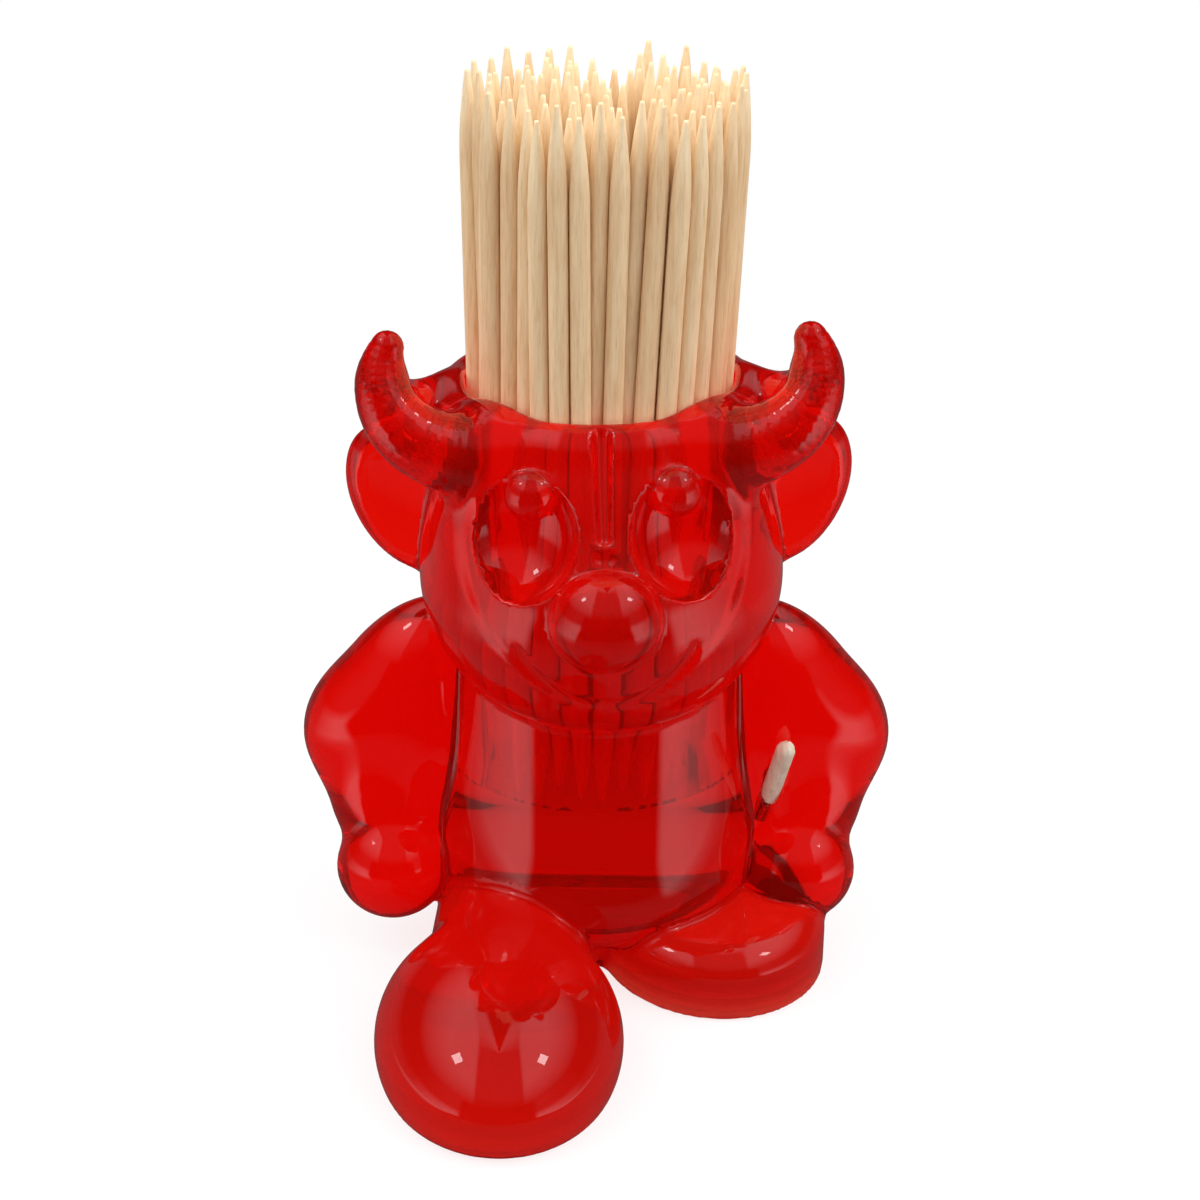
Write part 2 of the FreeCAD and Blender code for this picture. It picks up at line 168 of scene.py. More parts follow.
def join(a, b, soft):
    """The smaller of two fields, rounded off where they are nearly equal."""
    mix = np.clip(0.5 + 0.5 * (b - a) / soft, 0, 1)
    return b * (1 - mix) + a * mix - soft * mix * (1 - mix)


def carve(a, b, soft):
    """The first field with the second cut out of it, the edge rounded."""
    return -join(-a, b, soft)


print("field helpers ready")

# %% [markdown]
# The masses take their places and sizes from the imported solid, so the looks and the physics
# agree. The torso, the shoes and the eyes' hollows are shaped a little more freely. A mirrored
# point, with its X made negative, lets one horn, eye, ear or arm serve both sides. The head leans
# two degrees, so its masses are worked out in a frame of its own.

# %% Sizes of the figure, in millimetres
RIM_HEIGHT = 60.6
MOUTH_RADIUS = 13.4
MOUTH_FLARE = 0.7
FLOOR_RADIUS = 11.9
FLOOR_HEIGHT = 18.0
CUP_MIDDLE = (-0.5, 0.7)
HEAD_RADIUS = 16.2
HEAD_HALF_HEIGHT = 11.2
HEAD_LEAN = 2.0
NECK_HEIGHT = 40.0
BASE_ROUND = 0.7
STUB_HOLE_RADIUS = 1.08
STUB_HOLE_DEPTH = 6.0
STUB_MOUTH = np.array([18.15, -6.7, 19.4])
STUB_AXIS = np.array([math.sin(math.radians(9.0)), -math.sin(math.radians(24.0)), 0.0])
STUB_AXIS[2] = math.sqrt(1 - STUB_AXIS @ STUB_AXIS)
HORN = smooth_path([
    ((-10.2, -8.8, 56.6), 4.6),
    ((-15.2, -10.9, 57.5), 3.9),
    ((-19.1, -11.0, 60.0), 3.3),
    ((-21.0, -9.9, 63.5), 2.6),
    ((-20.4, -8.8, 67.5), 1.65)], 25)
HORN_LEDGE = smooth_path([
    ((-12.5, 0.6, 57.6), 2.8),
    ((-17.6, 0.0, 58.0), 2.6),
    ((-20.0, -3.6, 60.2), 2.3),
    ((-20.8, -7.6, 63.8), 1.9)], 17)


def on_left(p):
    """The point's mirror image on the left side."""
    q = p.copy()
    q[..., 0] = -np.abs(q[..., 0])
    return q


def in_head(p):
    """The point as seen from the leaning head: turned back about the neck."""
    c, s = math.cos(math.radians(HEAD_LEAN)), math.sin(math.radians(HEAD_LEAN))
    x, up = p[..., 0], p[..., 2] - NECK_HEIGHT
    return np.stack([x * c + up * s, p[..., 1], NECK_HEIGHT + up * c - x * s], axis=-1)


def ease(low, high, value):
    """Rises smoothly from 0 at low to 1 at high: three times the square less twice the cube."""
    t = np.clip((value - low) / (high - low), 0, 1)
    return t * t * (3 - 2 * t)


print("horn stations", len(HORN), "rim at", RIM_HEIGHT, "mm")

# %% [markdown]
# The head is a round block on a big jaw. The horns are limbs along a curve, with a wide fillet
# into the block. An ear is a flat leaning oval, narrower below, with a hollow cut in its front.
# The eyes are deep oval hollows, each with a small round pupil at its top, because a hollow shows
# two lamps as two tall bands. The nose is a ball, and a furrow runs down to it from the rim. The
# face inside a ring is sunk a little, and a smile is pressed along its lower edge.

# %% Head
def horn_field(m):
    """The horn and the ledge that carries it back to the cup's side, softly joined."""
    return join(chain(m, HORN), chain(m, HORN_LEDGE), 2.4)


def ear_field(m):
    """A leaning oval with a smaller one cut from its front, and a thin limb that draws it out to
    a point below."""
    lean = ((0, 1, 0), -24.0)
    ear = ellipsoid(m, (-19.6, 0.5, 48.0), (5.2, 2.9, 8.4), lean)
    ear = join(ear, limb(m, (-19.2, 0.5, 46.5), (-17.2, 0.4, 41.2), 2.2, 1.2), 1.5)
    dish = ellipsoid(m, (-20.0, -2.3, 48.4), (4.1, 1.7, 7.0), lean)
    return carve(ear, dish, 0.25)


def eye_field(d, m):
    """The face with an oval hollow cut into it, and a small ball standing in the hollow's top."""
    d = carve(d, ellipsoid(m, (-8.7, -19.8, 51.8), (6.3, 6.4, 6.6), ((-1, 0, 0), 14)), 0.2)
    return join(d, ellipsoid(m, (-6.9, -15.4, 54.5), (2.6, 2.4, 2.5)), 0.3)


def head_field(p):
    """Block, jaw, face, horns, ears and nose joined; ring, eyes, furrow and smile taken out."""
    q = in_head(p)
    m = on_left(q)
    d = drum(q, (0, CUP_MIDDLE[1], RIM_HEIGHT - HEAD_HALF_HEIGHT), HEAD_RADIUS,
             HEAD_HALF_HEIGHT, 2.2)
    d = join(d, ellipsoid(q, (0, -3.2, 41.4), (18.2, 20.6, 15.6)), 3.5)
    d = join(d, ellipsoid(q, (0, -8.2, 48.6), (16.0, 11.4, 12.2)), 2.5)
    d = join(d, horn_field(m), 3.2)
    away = np.hypot(q[..., 0], q[..., 2] - 50.0)
    sunk = (1 - ease(13.2, 14.8, away)) * ease(6, 12, -q[..., 1]) * (1 - ease(54, 59, q[..., 2]))
    d = d + 0.3 * sunk
    d = join(d, ear_field(m), 0.6)
    d = eye_field(d, m)
    d = join(d, ellipsoid(q, (0, -22.0, 44.1), (5.5, 5.0, 4.9)), 0.35)
    d = carve(d, limb(q, (0, -22.0, 61.5), (0, -20.9, 50.0), 7.2, 0.7), 0.8)
    d = carve(d, limb(q, (0, -14.8, 60.2), (0, -19.5, 51.5), 0.9, 0.6), 0.5)
    smile = smooth_path([((0, -22.4, 35.0), 0.8), ((-4.0, -22.3, 35.8), 0.8),
                         ((-7.2, -21.8, 38.2), 0.7), ((-8.8, -21.3, 40.6), 0.5)], 13)
    return carve(d, chain(m, smile), 0.6)


print("head: horns, ears, eyes, nose, furrow, smile")

# %% [markdown]
# The body is a barrel and a belly, with each hand on a hip: an upper arm out to the elbow, a
# forearm back in to a round fist. One leg steps forward, so its shoe is the largest mass.

# %% Body
def torso_field(p):
    """An upright block, oval when seen from above, that widens downwards, most of all in front;
    its top and bottom are rounded off by a soft maximum with two level planes."""
    down = ease(-4, 30, 34 - p[..., 2])
    depth = np.where(p[..., 1] < 0.5, 12.6 + 7.8 * down, 15.5)
    width = 14.4 + 3.0 * down
    x, y = p[..., 0], p[..., 1] - 0.5
    near = np.hypot(x / width, y / depth)
    far = np.hypot(x / width ** 2, y / depth ** 2)
    round_side = near * (near - 1) / np.maximum(far, 1e-6)
    return carve(round_side, 16.0 - np.abs(p[..., 2] - 20.5), 7.0)


def arm_field(m):
    """Shoulder, elbow, forearm, fist and the web behind them as ovals that flow together."""
    d = join(ellipsoid(m, (-20.6, 0.8, 26.4), (6.2, 6.0, 11.0), ((0, 1, 0), 36)),
             ellipsoid(m, (-24.0, 0.8, 21.0), (6.2, 5.9, 6.8)), 3.0)
    d = join(d, ellipsoid(m, (-22.5, -1.8, 15.6), (5.3, 5.2, 9.2), ((-0.87, -0.49, 0), 34)), 2.0)
    d = join(d, ellipsoid(m, (-21.0, -6.0, 8.8), (5.8, 5.6, 5.5)), 1.2)
    return join(d, ellipsoid(m, (-18.3, -0.6, 19.0), (7.2, 6.2, 12.0)), 2.5)


def leg_field(p):
    """Hips, the forward leg and its shoe, and the lower rear shoe, whose field in squeezed space
    is a drum with a well rounded edge."""
    leg = join(limb(p, (-8, -6, 3.0), (-9.6, -24, 2.5), 8.4, 8.4),
               ellipsoid(p, (-10.0, -31.2, 3.4), (12.2, 17.8, 9.2)), 2.0)
    d = join(ellipsoid(p, (0, 0.5, 5.0), (16.5, 15.0, 8.0)), leg, 1.5)
    rear = (p - np.float32((12.0, -8.4, 0))) @ turned((0, 0, 1), 8).T.astype(np.float32)
    rear = drum(rear * np.float32((1, 0.82, 1)), (0, 0, 0), 11.6, 7.4, 3.2)
    return join(d, rear, 1.5)


def body_field(p):
    """The barrel, then the arms, then the legs."""
    return join(join(torso_field(p), arm_field(on_left(p)), 1.2), leg_field(p), 0.8)


def figure_field(p):
    """Head and body joined at a tight neck and cut flat at the table with a small round edge; the
    tapered cup and the small slanting hole are taken out."""
    d = join(body_field(p), head_field(p), 0.8)
    d = carve(d, p[..., 2], BASE_ROUND)
    away = np.hypot(p[..., 0] - CUP_MIDDLE[0], p[..., 1] - CUP_MIDDLE[1])
    share = (p[..., 2] - FLOOR_HEIGHT) / (RIM_HEIGHT - MOUTH_FLARE - FLOOR_HEIGHT)
    wall = FLOOR_RADIUS + (MOUTH_RADIUS - FLOOR_RADIUS) * share
    d = carve(d, np.maximum(away - wall, FLOOR_HEIGHT - p[..., 2]), 0.9)
    q = p - np.float32(STUB_MOUTH)
    along = q @ np.float32(STUB_AXIS)
    off = np.linalg.norm(q - along[..., None] * np.float32(STUB_AXIS), axis=-1)
    return carve(d, np.maximum(off - STUB_HOLE_RADIUS, -STUB_HOLE_DEPTH - along), 0.25)


print("cup", RIM_HEIGHT - FLOOR_HEIGHT, "mm deep")

# %% [markdown]
# The field becomes a mesh where it is zero. Space is cut into small cubes; each cube that the
# skin passes through gets one vertex, at the middle of its edges' crossings, and each crossed
# edge gets one face between its four cubes. The vertices are then moved along the field's slope
# until they lie on the skin, and the slope itself gives the normals, so the gloss stays smooth.

# %% From a field to a skin
SLICES = 12


def ruler(low, high, fine_low, fine_high, fine, coarse):
    """Marks along one axis: fine steps between the two fine limits, coarse ones outside them."""
    return np.concatenate([np.arange(fine_low, low - coarse, -coarse)[:0:-1],
                           np.arange(fine_low, fine_high, fine),
                           np.arange(fine_high, high + coarse, coarse)]).astype(np.float32)


def grid_of(field, axes):
    """The field where the marks of the three axes cross, a few slices at a time."""
    y, z = np.meshgrid(axes[1], axes[2], indexing="ij")
    values = np.empty([len(a) for a in axes], np.float32)
    for start in range(0, len(axes[0]), SLICES):
        x = axes[0][start:start + SLICES, None, None]
        block = np.stack(np.broadcast_arrays(x, y[None], z[None]), axis=-1)
        values[start:start + SLICES] = field(np.ascontiguousarray(block))
    return values


def cube_middles(values, axes):
    """For every cube with corners on both sides of the skin: the mean of its edges' crossings,
    each found in proportion to the two corner values. Gives the places and the cubes' numbers."""
    cubes = tuple(n - 1 for n in values.shape)
    total, hits = np.zeros(cubes + (3,), np.float32), np.zeros(cubes, np.float32)
    for axis in range(3):
        u, v = [a for a in range(3) if a != axis]
        first = np.take(values, range(cubes[axis]), axis)
        second = np.take(values, range(1, cubes[axis] + 1), axis)
        crossed = (first < 0) != (second < 0)
        share = np.where(crossed, first / np.where(crossed, first - second, 1), 0)
        for i, j in ((0, 0), (0, 1), (1, 0), (1, 1)):
            part = [slice(None)] * 3
            part[u], part[v] = slice(i, i + cubes[u]), slice(j, j + cubes[v])
            hit = crossed[tuple(part)]
            total[..., axis] += share[tuple(part)]
            total[..., u] += i * hit
            total[..., v] += j * hit
            hits += hit
    used = hits > 0
    number = np.full(cubes, -1, np.int64)
    number[used] = np.arange(used.sum())
    spot = np.argwhere(used) + total[used] / hits[used][:, None]
    places = [np.interp(spot[:, k], np.arange(len(axes[k])), axes[k]) for k in range(3)]
    return np.stack(places, axis=-1).astype(np.float32), number


def skin_faces(values, number):
    """One face for each grid edge that crosses the skin, between the four cubes round it, in the
    order that turns it outwards."""
    inside, faces = values < 0, []
    for axis in range(3):
        u, v = (axis + 1) % 3, (axis + 2) % 3
        first = np.take(inside, range(inside.shape[axis] - 1), axis)
        second = np.take(inside, range(1, inside.shape[axis]), axis)
        at = np.argwhere(first != second)
        outward = first[tuple(at.T)]
        back = np.zeros((4, 3), np.int64)
        back[:, u], back[:, v] = (1, 0, 0, 1), (1, 1, 0, 0)
        quad = number[tuple(np.moveaxis(at[:, None] - back, -1, 0))]
        quad[~outward] = quad[~outward][:, ::-1]
        faces.append(quad)
    return np.concatenate(faces)


print("skin helpers ready")

# %% Figure skin
def slope_of(field, p, reach=0.04):
    """The field's slope at each point: its differences along X, Y and Z over twice the reach."""
    steps = np.eye(3, dtype=np.float32) * reach
    return np.stack([field(p + s) - field(p - s) for s in steps], axis=-1) / (2 * reach)


def settle(field, p, rounds=3):
    """Points moved down the slope by their distance over its squared length, so onto the skin."""
    for _ in range(rounds):
        g = slope_of(field, p)
        steep = np.maximum((g * g).sum(-1), 0.25)
        p = p - g * np.clip(field(p) / steep, -0.3, 0.3)[:, None]
    return p.astype(np.float32)


coarser = 1.0
axes = (ruler(-31.6, 31.6, -24.0, 24.0, 0.50 * coarser, 0.66 * coarser),
        ruler(-50.5, 19.0, -28.0, 2.0, 0.50 * coarser, 0.68 * coarser),
        ruler(-1.2, 70.8, 40.0, 70.8, 0.50 * coarser, 0.68 * coarser))
values = grid_of(figure_field, axes)
places, number = cube_middles(values, axes)
faces = skin_faces(values, number)
places = settle(figure_field, places)
print("skin", len(places), "points", len(faces), "faces")

# %% [markdown]
# A mesh takes its points and faces in one go, as plain arrays. The sole is flattened to the table,
# and the normals come from the field's slope, because a clear skin shows every uneven normal.

# %% Figure mesh
def mesh_piece(name, places_mm, quads, triangles=None, normals=None):
    """A smooth mesh object at the origin: the corner list is all quads, then all triangles, and
    each face starts where the corners before it end."""
    triangles = np.zeros((0, 3), np.int64) if triangles is None else triangles
    corners = np.concatenate([quads.ravel(), triangles.ravel()]).astype(np.int32)
    counts = np.concatenate([np.full(len(quads), 4), np.full(len(triangles), 3)])
    starts = np.concatenate([[0], np.cumsum(counts)[:-1]]).astype(np.int32)
    mesh = bpy.data.meshes.new(name)
    mesh.vertices.add(len(places_mm))
    mesh.vertices.foreach_set("co", (np.asarray(places_mm) * MM).astype(np.float32).ravel())
    mesh.loops.add(len(corners))
    mesh.loops.foreach_set("vertex_index", corners)
    mesh.polygons.add(len(starts))
    mesh.polygons.foreach_set("loop_start", starts)
    mesh.polygons.foreach_set("use_smooth", np.ones(len(starts), bool))
    mesh.update(calc_edges=True)
    mesh.validate()
    if normals is not None:
        mesh.normals_split_custom_set_from_vertices(normals.tolist())
    piece = bpy.data.objects.new(name, mesh)
    bpy.context.scene.collection.objects.link(piece)
    return piece


places[:, 2] = np.maximum(places[:, 2], 0)
slope = slope_of(figure_field, places)
slope /= np.maximum(np.linalg.norm(slope, axis=1, keepdims=True), 1e-6)
figure = mesh_piece("figure_moulding", places, faces, normals=slope)
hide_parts("figure_body")
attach(figure, "figure")
print("figure", len(faces) * 2, "triangles")

# %% [markdown]
# A toothpick is turned from a birch stick and pointed at both ends, so it is a profile of radii
# carried along an axis. The points are long curves, not cones, and end bluntly. The axis of every
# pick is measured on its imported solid, so the looks stand where the physics stands.

# %% Toothpick shape
PICK_RADIUS = 1.0
PICK_LENGTH = 72.0
PICK_TAPER = 8.0
TIP_RADIUS = 0.22
MIDDLE_RINGS = 3
rng = np.random.default_rng(11)


def pick_profile(rings):
    """Share of the taper's length at each ring, and the radius there: the shares run as one less
    a cosine, close together at the blunt end, and the radius by one less a power of what is left
    of the taper, which is nearly a cone at the end and meets the stick smoothly."""
    part = 1 - np.cos(np.linspace(0, math.pi / 2, rings))
    radius = TIP_RADIUS + (PICK_RADIUS - TIP_RADIUS) * (1 - (1 - part) ** 1.6)
    return part * PICK_TAPER, radius


def lathe_faces(rings, sides, copies):
    """Faces of turned shapes whose points lie ring after ring, then one at each end: a quad
    between neighbours on two rings, and triangles round the ends, repeated for each copy."""
    i, j = np.meshgrid(np.arange(rings - 1), np.arange(sides), indexing="ij")
    k = (j + 1) % sides
    quads = np.stack([i * sides + j, i * sides + k, (i + 1) * sides + k, (i + 1) * sides + j],
                     axis=-1).reshape(-1, 4)
    j, last = np.arange(sides), (rings - 1) * sides
    k = (j + 1) % sides
    foot, tip = np.full(sides, rings * sides), np.full(sides, rings * sides + 1)
    triangles = np.concatenate([np.stack([k, j, foot], axis=1),
                                np.stack([last + j, last + k, tip], axis=1)])
    shift = (np.arange(copies) * (rings * sides + 2))[:, None, None]
    return (quads + shift).reshape(-1, 4), (triangles + shift).reshape(-1, 3)


print("taper ring heights", np.round(pick_profile(6)[0], 2))

# %% Where each toothpick stands
def solids_of(node):
    """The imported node's separate solids, as arrays of points in millimetres: each point takes the
    lowest number among the points it shares triangles with, until nothing changes."""
    mesh = frame["nodes"][node].data
    points = np.empty(len(mesh.vertices) * 3, np.float32)
    mesh.vertices.foreach_get("co", points)
    corners = np.empty(len(mesh.loops), np.int32)
    mesh.loops.foreach_get("vertex_index", corners)
    points, same = np.unique(np.round(points.reshape(-1, 3) / MM, 3), axis=0, return_inverse=True)
    corners = same.ravel()[corners].reshape(-1, 3)
    label, before = np.arange(len(points)), None
    while before is None or not np.array_equal(before, label):
        before = label.copy()
        least = label[corners].min(axis=1)
        for column in corners.T:
            np.minimum.at(label, column, least)
        label = label[label]
    return [points[label == one] for one in np.unique(label)]


def ends_of(points):
    """The middles of the lowest and highest slices of a long solid, cut across the direction in
    which its points spread most, each moved out to that end's last point."""
    middle = points.mean(axis=0)
    axis = np.linalg.svd(points - middle, full_matrices=False)[2][0]
    axis = axis * np.sign(axis[2])
    along = (points - middle) @ axis
    foot = points[along < along.min() + 0.2].mean(axis=0)
    tip = points[along > along.max() - 0.2].mean(axis=0)
    return foot, tip


body_of_node = {node: body
                for body, nodes in frame["record"]["behaviour"]["bodies"].items()
                for node in nodes}
print("first pick", np.round(ends_of(solids_of("toothpick_01")[0]), 2).tolist())

# %% Every toothpick
def pick_piece(name, node, rings, sides):
    """One piece for a node. Each pick's rings are circles square to its axis, at the profile's
    heights from both ends, with a slight waver; its tone, its height share and its own random
    number are kept as an attribute for the wood."""
    feet, tips = np.array([ends_of(solid) for solid in solids_of(node)]).transpose(1, 0, 2)
    count = len(feet)
    axis = tips - feet
    length = np.linalg.norm(axis, axis=1, keepdims=True)
    axis = axis / length
    side = np.cross(axis, rng.normal(0, 1, (count, 3)))
    side /= np.linalg.norm(side, axis=1, keepdims=True)
    front = np.cross(axis, side)
    near, radius = pick_profile(rings)
    middle = np.linspace(PICK_TAPER, PICK_LENGTH - PICK_TAPER, MIDDLE_RINGS + 2)[1:-1]
    heights = np.concatenate([near, middle, PICK_LENGTH - near[::-1]]) / PICK_LENGTH * length
    radii = np.concatenate([radius, np.full(MIDDLE_RINGS, PICK_RADIUS), radius[::-1]])
    radii = radii * (1 - np.abs(rng.normal(0, 0.012, (count, len(radii)))))
    angle = np.arange(sides) * 2 * math.pi / sides
    ring = (np.cos(angle)[:, None] * side[:, None] + np.sin(angle)[:, None] * front[:, None])
    centre = feet[:, None] + heights[..., None] * axis[:, None]
    body = centre[:, :, None] + radii[..., None, None] * ring[:, None]
    points = np.concatenate([body.reshape(count, -1, 3), feet[:, None], tips[:, None]], axis=1)
    quads, triangles = lathe_faces(len(near) * 2 + MIDDLE_RINGS, sides, count)
    piece = mesh_piece(name, points.reshape(-1, 3), quads, triangles)
    rise = ((points - feet[:, None]) * axis[:, None]).sum(-1) / length
    tone = np.broadcast_to(rng.beta(2.2, 2.2, (count, 1)), rise.shape)
    own = np.broadcast_to(rng.uniform(0, 1, (count, 1)), rise.shape)
    about = piece.data.attributes.new("about_pick", "FLOAT_VECTOR", "POINT")
    about.data.foreach_set("vector", np.stack([tone, rise, own], -1).astype(np.float32).ravel())
    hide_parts(node)
    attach(piece, body_of_node[node])
    return piece


picks = []
for node in sorted(frame["nodes"]):
    if node.startswith("toothpick_"):
        picks.append(pick_piece(node.replace("toothpick", "pick"), node, 8, 16))
picks.append(pick_piece("picks_inner", "toothpicks_inner", 6, 10))
print("pick pieces", len(picks), "faces", sum(len(p.data.polygons) for p in picks))

# %% [markdown]
# One arm has a small slanting hole, and a broken end of a pick is stuck in it. A break is not a
# clean cut: it slants, and its fibres stand up unevenly round a tuft. The top is therefore a set
# of shrinking rings that rise to the middle, on a tilted plane, with sharp steps added.

# %% Broken pick end
STUB_FLOOR_GAP = 0.1
STUB_TOP = 10.9
STUB_TONE = 0.75
STUB_OWN = 0.31


def stub_piece():
    """Rings up the stub, then rings shrinking over its top; the heights there are a slope across
    the stick plus a random step for each run of fibres."""
    axis = STUB_AXIS
    foot = STUB_MOUTH - axis * (STUB_HOLE_DEPTH - STUB_FLOOR_GAP)
    side = np.cross(axis, [0, 0, 1])
    side /= np.linalg.norm(side)
    front = np.cross(axis, side)
    sides = 28
    angle = np.arange(sides) * 2 * math.pi / sides
    heights = np.array([0, 0.3, 1.5, 3.0, 4.5, 5.6, 6.6, 7.6, 8.6, 9.6, 10.2])
    radii = np.array([0.25, 0.6, 0.9, 0.99, 1, 1, 1, 1, 1, 1, 1])
    inner = np.array([0.93, 0.78, 0.58, 0.36, 0.16])
    radii = np.concatenate([radii, inner])
    radii = radii[:, None] * (1 - 0.02 * rng.uniform(0, 1, (len(radii), sides)))
    slope = 0.3 * np.sin(angle + 0.6)
    tuft = np.array([-0.25, 0.05, 0.35, 0.6, 0.85, 1.0])[:, None]
    fibres = np.repeat(rng.uniform(-0.2, 0.2, sides // 2), 2)
    tops = STUB_TOP + np.concatenate([[1.0], inner])[:, None] * (slope + fibres)
    tops += tuft
    tops[1:] += rng.uniform(-0.12, 0.1, (len(inner), sides))
    up = np.concatenate([np.repeat(heights[:-1, None], sides, axis=1), tops])
    ring = np.cos(angle)[:, None] * side + np.sin(angle)[:, None] * front
    body = foot + up[..., None] * axis + radii[..., None] * ring
    points = np.concatenate([body.reshape(-1, 3), [foot], [foot + 12.0 * axis]])
    quads, triangles = lathe_faces(len(radii), sides, 1)
    piece = mesh_piece("stub_end", points, quads, triangles)
    rise = ((points - foot) @ axis) / PICK_LENGTH
    values = np.stack([np.full(len(points), STUB_TONE), rise, np.full(len(points), STUB_OWN)], -1)
    about = piece.data.attributes.new("about_pick", "FLOAT_VECTOR", "POINT")
    about.data.foreach_set("vector", values.astype(np.float32).ravel())
    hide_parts("hand_stub")
    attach(piece, body_of_node["hand_stub"])
    return piece


stub = stub_piece()

# %% [markdown]
# The floor is one large white sheet. It isn't part of the object.

# %% Floor
FLOOR_REACH = 3000.0
floor = mesh_piece("floor_sheet",
                   np.array([[-1, -1, 0], [1, -1, 0], [1, 1, 0], [-1, 1, 0]]) * FLOOR_REACH,
                   np.array([[0, 1, 2, 3]]))
print("floor", FLOOR_REACH * 2 * MM, "m across")

# %% [markdown]
# Wood: fine dark streaks run along each pick. The pattern is noise in Object coordinates that are
# squeezed along Z, so it runs lengthways because the picks stand nearly upright, and each pick's
# own random number shifts it. Two woods use it, so it is a group that gives out a colour, a
# roughness and a height.

# %% Helpers for node trees
TURNS_ALLOWED = 4.5


def node_tree(material):
    """The material's emptied node tree, with its output node."""
    material.use_nodes = True
    tree = material.node_tree
    tree.nodes.clear()
    return tree, tree.nodes.new("ShaderNodeOutputMaterial")


def add(tree, kind, inputs=None, **settings):
    """A new node with its settings, and its inputs given as plain values or as sockets to link."""
    node = tree.nodes.new(kind)
    for key, value in settings.items():
        setattr(node, key, value)
    for key, value in (inputs or {}).items():
        if isinstance(value, bpy.types.NodeSocket):
            tree.links.new(value, node.inputs[key])
        else:
            node.inputs[key].default_value = value
    return node


def maths(tree, operation, a, b=0.0, clamp=False):
    """The output of one sum of two values or sockets."""
    return add(tree, "ShaderNodeMath", {0: a, 1: b}, operation=operation,
               use_clamp=clamp).outputs[0]


def between(tree, value, start, end, low=0.0, high=1.0, kind="LINEAR"):
    """Low while the value is at start or before, high at end or after, and even in between."""
    return add(tree, "ShaderNodeMapRange",
               {"Value": value, "From Min": start, "From Max": end, "To Min": low,
                "To Max": high}, interpolation_type=kind).outputs[0]


def trapped_rays(tree, light):
    """1 for rays that have already turned more often than TURNS_ALLOWED, and 0 for others."""
    return maths(tree, "GREATER_THAN", light["Ray Depth"], TURNS_ALLOWED)


def blend_colours(tree, share, a, b):
    """The colour between a and b at the given share."""
    node = add(tree, "ShaderNodeMix", data_type="RGBA")
    for key, value in (("Factor_Float", share), ("A_Color", a), ("B_Color", b)):
        socket = next(i for i in node.inputs if i.identifier == key)
        if isinstance(value, bpy.types.NodeSocket):
            tree.links.new(value, socket)
        else:
            socket.default_value = value
    return next(o for o in node.outputs if o.identifier == "Result_Color")


def ramp(tree, value, stops):
    """A colour ramp through the stops, each (position, brightness)."""
    node = add(tree, "ShaderNodeValToRGB", {0: value})
    while len(node.color_ramp.elements) < len(stops):
        node.color_ramp.elements.new(0.5)
    for element, (position, shade) in zip(node.color_ramp.elements, stops):
        element.position = position
        element.color = (shade, shade, shade, 1)
    return node.outputs[0]


def colour(red, green, blue):
    """A screen colour, 0 to 255, as the linear values that shaders use."""
    c = np.array([red, green, blue]) / 255
    return tuple(np.where(c <= 0.04045, c / 12.92, ((c + 0.055) / 1.055) ** 2.4)) + (1.0,)


print("birch", [round(float(v), 3) for v in colour(222, 190, 145)])

